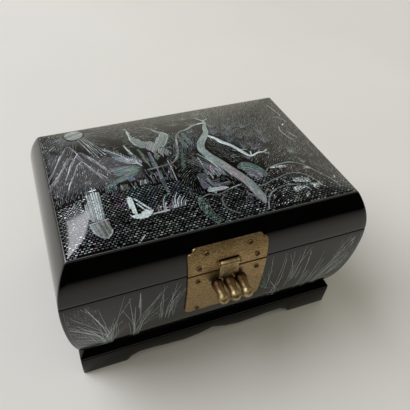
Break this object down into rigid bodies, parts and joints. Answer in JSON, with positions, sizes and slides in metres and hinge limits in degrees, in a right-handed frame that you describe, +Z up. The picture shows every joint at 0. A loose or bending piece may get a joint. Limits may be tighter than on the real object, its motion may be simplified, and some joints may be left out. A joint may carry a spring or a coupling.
{
  "type": "lacquer box",
  "caption": "Black lacquer jewellery box with curved sides, a domed hinged lid inlaid with mother-of-pearl, a shaped plinth and a brass pronged front lock.",
  "frame": {"origin": "middle of the whole footprint, on the surface the feet stand on", "axes": "+X to the right seen from the front, -Y out of the front, +Z up"},
  "size_m": [0.201, 0.1592, 0.1204],
  "materials": {
    "lacquer": "gloss",
    "brass": "satin",
    "velvet": "matte",
    "mirror_glass": "mirror"
  },
  "bodies": {
    "case": {"case_wall_front": "lacquer", "case_wall_right": "lacquer", "case_wall_back": "lacquer", "case_wall_left": "lacquer", "case_floor": "lacquer", "plinth_moulding_front": "lacquer", "plinth_moulding_right": "lacquer", "plinth_moulding_back": "lacquer", "plinth_moulding_left": "lacquer", "plinth_rail_front": "lacquer", "plinth_rail_right": "lacquer", "plinth_rail_back": "lacquer", "plinth_rail_left": "lacquer", "floor_pad": "velvet", "lining_front": "velvet", "lining_back": "velvet", "lining_left": "velvet", "lining_right": "velvet", "lock_plate_lower": "brass", "tack_lower_1": "brass", "tack_lower_2": "brass", "tack_lower_3": "brass", "tack_lower_4": "brass", "hinge_leaf_lower_left": "brass", "hinge_leaf_lower_right": "brass", "hinge_pin_left": "brass", "hinge_pin_right": "brass"},
    "lid": {"lid_rail_front": "lacquer", "lid_rail_right": "lacquer", "lid_rail_back": "lacquer", "lid_rail_left": "lacquer", "lid_top_panel": "lacquer", "lid_lining": "velvet", "lid_mirror": "mirror_glass", "lock_plate_upper": "brass", "hasp_pin": "brass", "tack_upper_1": "brass", "tack_upper_2": "brass", "tack_upper_3": "brass", "tack_upper_4": "brass", "hinge_leaf_upper_left": "brass", "hinge_leaf_upper_right": "brass"},
    "hasp": {"hasp": "brass"},
    "left_catch": {"catch_left": "brass"},
    "right_catch": {"catch_right": "brass"}
  },
  "joints": [
    {"name": "lid_hinge", "type": "hinge", "parent": "case", "child": "lid", "pos_m": [0, 0.07739, 0.0875], "axis": [-1, 0, 0], "range_deg": [0, 100]},
    {"name": "hasp_hinge", "type": "hinge", "parent": "lid", "child": "hasp", "pos_m": [0.0008, -0.06386, 0.0932], "axis": [-1, 0, 0], "range_deg": [0, 110]},
    {"name": "left_catch_pinch", "type": "hinge", "parent": "case", "child": "left_catch", "pos_m": [-0.007, -0.0632, 0.079], "axis": [0, 0, 1], "range_deg": [0, 3], "stiffness_Nm_per_rad": 0.3},
    {"name": "right_catch_pinch", "type": "hinge", "parent": "case", "child": "right_catch", "pos_m": [0.0086, -0.0632, 0.079], "axis": [0, 0, -1], "range_deg": [0, 3], "stiffness_Nm_per_rad": 0.3}
  ]
}
